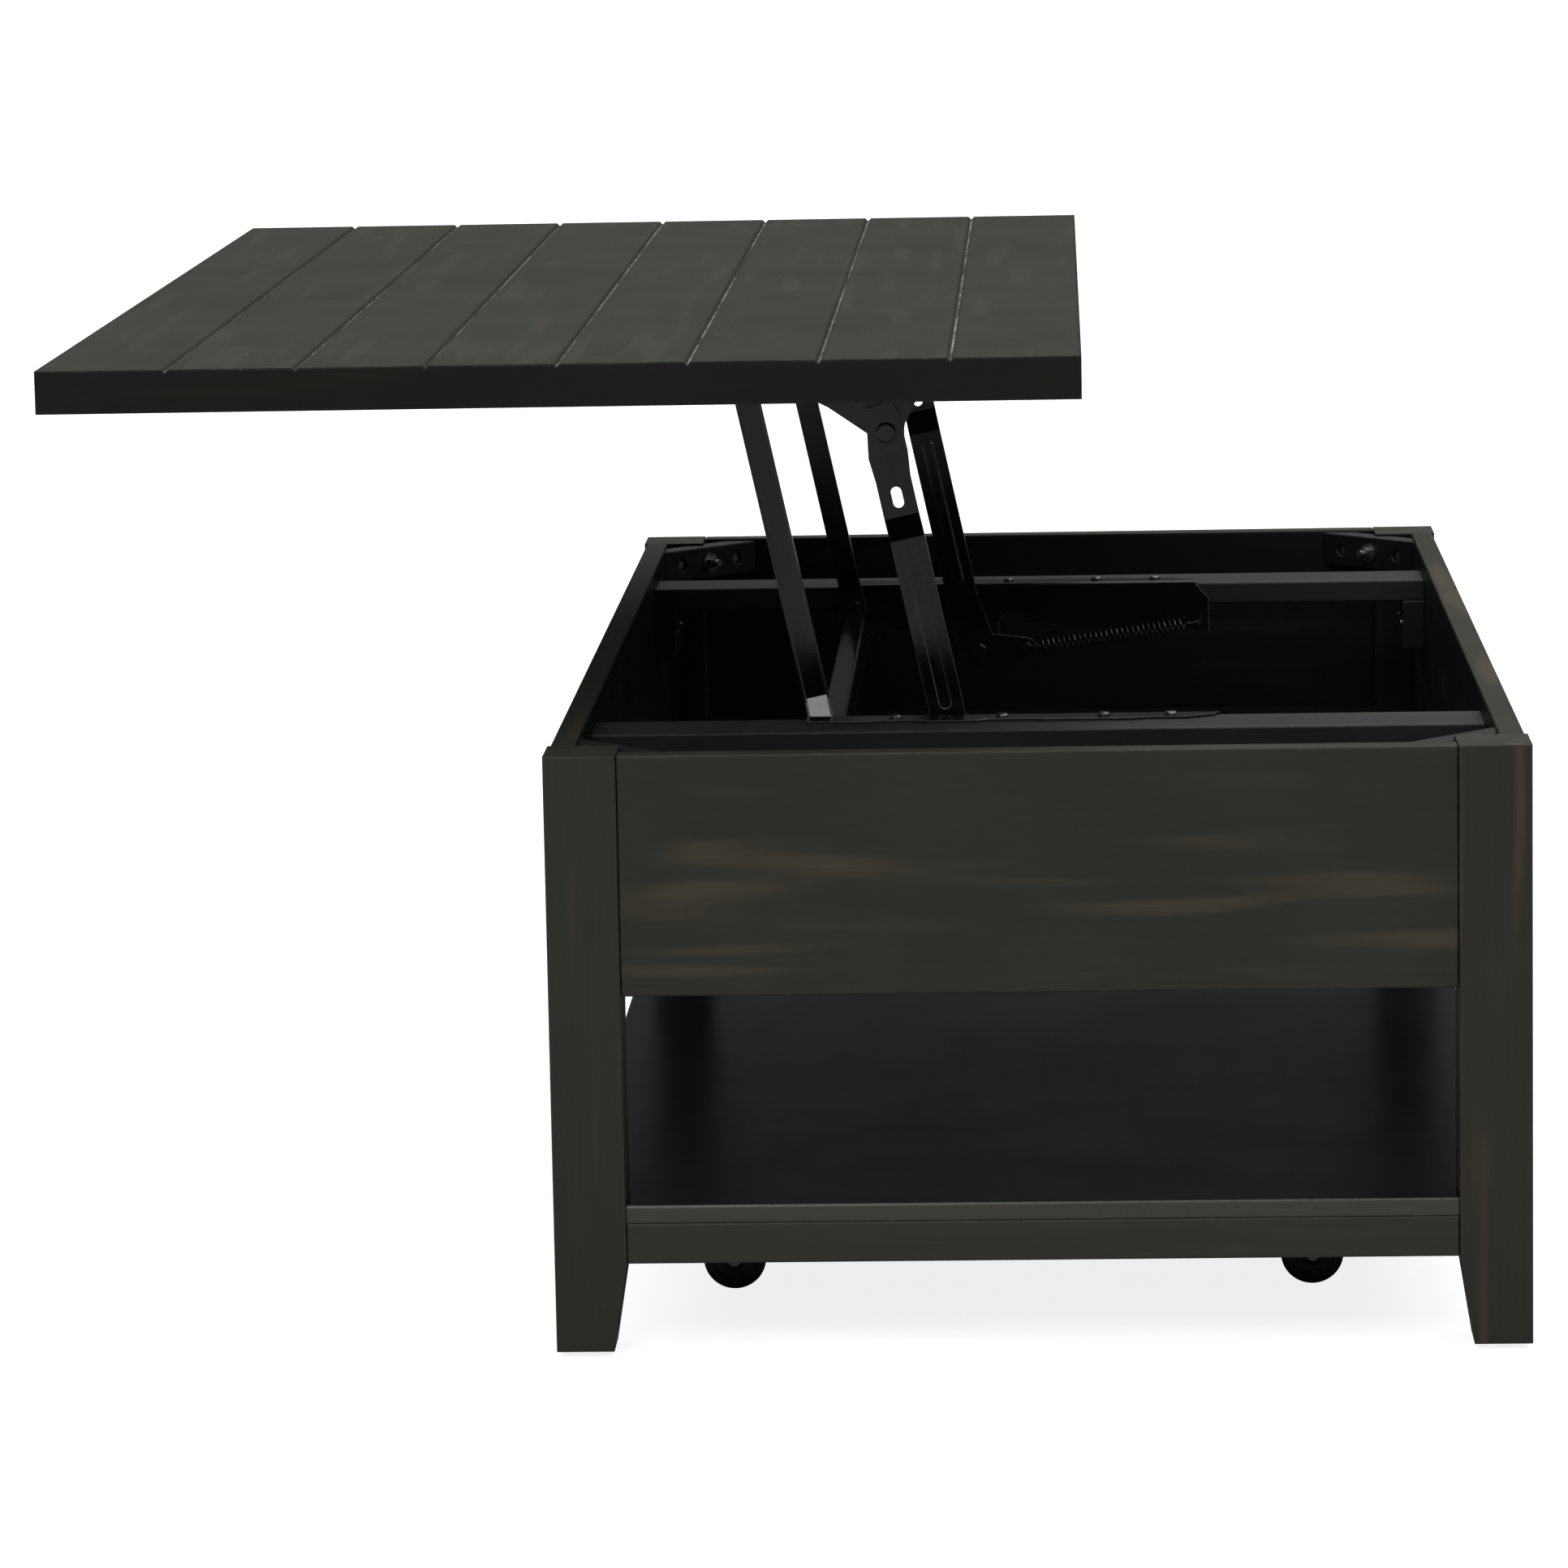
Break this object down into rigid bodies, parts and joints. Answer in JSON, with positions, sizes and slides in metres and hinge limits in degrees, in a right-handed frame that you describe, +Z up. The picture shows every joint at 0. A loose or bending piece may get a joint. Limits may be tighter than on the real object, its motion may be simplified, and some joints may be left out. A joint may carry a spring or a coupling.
{
  "type": "lift-top coffee table",
  "caption": "Rectangular coffee table with plank-grooved top raised on spring-assisted parallel arms over an open storage box, lower shelf and hidden casters.",
  "frame": {"origin": "centre of the opened table's footprint (the bounding box of the whole table with its top raised), on the floor that the caster wheels stand on", "axes": "+Z up; +Y along the table's length; +X across its width, so the top lifts up and towards -X"},
  "size_m": [1.031, 1.27, 0.7065],
  "materials": {
    "top_board_paint": "satin",
    "top_edge_paint": "satin",
    "leg_paint": "satin",
    "apron_paint": "satin",
    "rail_paint": "satin",
    "shelf_paint": "satin",
    "box_floor_paint": "satin",
    "inner_wood_paint": "satin",
    "under_wood_paint": "satin",
    "lift_steel": "gloss",
    "rivet_steel": "gloss",
    "spring_steel": "gloss",
    "screw_steel": "satin",
    "caster_steel": "satin",
    "caster_tread": "matt"
  },
  "bodies": {
    "base": {"base_bracket_front": "lift_steel", "base_bracket_rear": "lift_steel", "base_pivot_rivets": "rivet_steel", "batten_support_blocks": "inner_wood_paint", "box_floor": "box_floor_paint", "brace_screws": "screw_steel", "bracket_screws": "screw_steel", "caster_battens": "under_wood_paint", "caster_plates": "caster_steel", "caster_screws": "screw_steel", "corner_brace_left_front": "inner_wood_paint", "corner_brace_left_rear": "inner_wood_paint", "corner_brace_right_front": "inner_wood_paint", "corner_brace_right_rear": "inner_wood_paint", "end_apron_front": "apron_paint", "end_apron_rear": "apron_paint", "hanger_bolts": "screw_steel", "hanger_nuts": "screw_steel", "hanger_washers": "screw_steel", "leg_left_front": "leg_paint", "leg_left_rear": "leg_paint", "leg_right_front": "leg_paint", "leg_right_rear": "leg_paint", "lift_batten_front": "inner_wood_paint", "lift_batten_rear": "inner_wood_paint", "lower_rail_front": "rail_paint", "lower_rail_left": "rail_paint", "lower_rail_rear": "rail_paint", "lower_rail_right": "rail_paint", "panel_screws": "screw_steel", "shelf_board": "shelf_paint", "side_apron_left": "apron_paint", "side_apron_right": "apron_paint"},
    "main_arms": {"main_arm_front": "lift_steel", "main_arm_rear": "lift_steel"},
    "table_top": {"top_board": "top_board_paint", "top_edge_bands": "top_edge_paint", "top_screws": "screw_steel", "top_bracket_front": "lift_steel", "top_bracket_rear": "lift_steel", "top_pivot_rivets": "rivet_steel"},
    "link_arms": {"link_arm_front": "lift_steel", "link_arm_rear": "lift_steel", "cross_tube": "lift_steel"},
    "springs": {"spring_coil_front": "spring_steel", "spring_coil_rear": "spring_steel", "spring_anchor_hooks": "spring_steel"},
    "spring_ends": {"spring_lever_hooks": "spring_steel"},
    "caster_left_front_swivel": {"caster_fork_left_front": "caster_steel", "caster_axle_left_front": "caster_steel"},
    "caster_left_front_wheel": {"caster_wheel_left_front": "caster_tread"},
    "caster_right_front_swivel": {"caster_fork_right_front": "caster_steel", "caster_axle_right_front": "caster_steel"},
    "caster_right_front_wheel": {"caster_wheel_right_front": "caster_tread"},
    "caster_left_rear_swivel": {"caster_fork_left_rear": "caster_steel", "caster_axle_left_rear": "caster_steel"},
    "caster_left_rear_wheel": {"caster_wheel_left_rear": "caster_tread"},
    "caster_right_rear_swivel": {"caster_fork_right_rear": "caster_steel", "caster_axle_right_rear": "caster_steel"},
    "caster_right_rear_wheel": {"caster_wheel_right_rear": "caster_tread"}
  },
  "joints": [
    {"name": "lift", "type": "hinge", "parent": "base", "child": "main_arms", "pos_m": [0.1205, 0, 0.361], "axis": [0, 1, 0], "range_deg": [0, 97.96], "stiffness_Nm_per_rad": 4},
    {"name": "top_level", "type": "hinge", "parent": "main_arms", "child": "table_top", "pos_m": [0.06427, 0, 0.62553], "axis": [0, 1, 0], "range_deg": [-97.97, 0]},
    {"name": "link_swing", "type": "hinge", "parent": "base", "child": "link_arms", "pos_m": [0.0165, 0, 0.401], "axis": [0, 1, 0], "range_deg": [0, 97.97]},
    {"name": "spring_swing", "type": "hinge", "parent": "base", "child": "springs", "pos_m": [0.3065, 0, 0.384], "axis": [0, 1, 0], "range_deg": [-10.94, 0]},
    {"name": "spring_stretch", "type": "slide", "parent": "springs", "child": "spring_ends", "axis": [-0.991, 0, -0.1341], "range_m": [0, 0.05186], "deforming": ["spring_coil_front", "spring_coil_rear"]},
    {"name": "caster_left_front_turn", "type": "hinge", "parent": "base", "child": "caster_left_front_swivel", "pos_m": [-0.0405, -0.408, 0.058], "axis": [0, 0, 1], "continuous": true},
    {"name": "caster_left_front_roll", "type": "hinge", "parent": "caster_left_front_swivel", "child": "caster_left_front_wheel", "pos_m": [-0.0555, -0.408, 0.023], "axis": [0, 1, 0], "continuous": true},
    {"name": "caster_right_front_turn", "type": "hinge", "parent": "base", "child": "caster_right_front_swivel", "pos_m": [0.3835, -0.408, 0.058], "axis": [0, 0, 1], "continuous": true},
    {"name": "caster_right_front_roll", "type": "hinge", "parent": "caster_right_front_swivel", "child": "caster_right_front_wheel", "pos_m": [0.3685, -0.408, 0.023], "axis": [0, 1, 0], "continuous": true},
    {"name": "caster_left_rear_turn", "type": "hinge", "parent": "base", "child": "caster_left_rear_swivel", "pos_m": [-0.0405, 0.408, 0.058], "axis": [0, 0, 1], "continuous": true},
    {"name": "caster_left_rear_roll", "type": "hinge", "parent": "caster_left_rear_swivel", "child": "caster_left_rear_wheel", "pos_m": [-0.0555, 0.408, 0.023], "axis": [0, 1, 0], "continuous": true},
    {"name": "caster_right_rear_turn", "type": "hinge", "parent": "base", "child": "caster_right_rear_swivel", "pos_m": [0.3835, 0.408, 0.058], "axis": [0, 0, 1], "continuous": true},
    {"name": "caster_right_rear_roll", "type": "hinge", "parent": "caster_right_rear_swivel", "child": "caster_right_rear_wheel", "pos_m": [0.3685, 0.408, 0.023], "axis": [0, 1, 0], "continuous": true}
  ],
  "couplings": [
    {"joint": "top_level", "follows": "lift", "ratio": -1},
    {"joint": "link_swing", "follows": "lift", "ratio": 1},
    {"joint": "spring_swing", "follows": "lift", "ratio": -0.11145},
    {"joint": "spring_stretch", "follows": "lift", "m_per_rad": 0.030302}
  ]
}
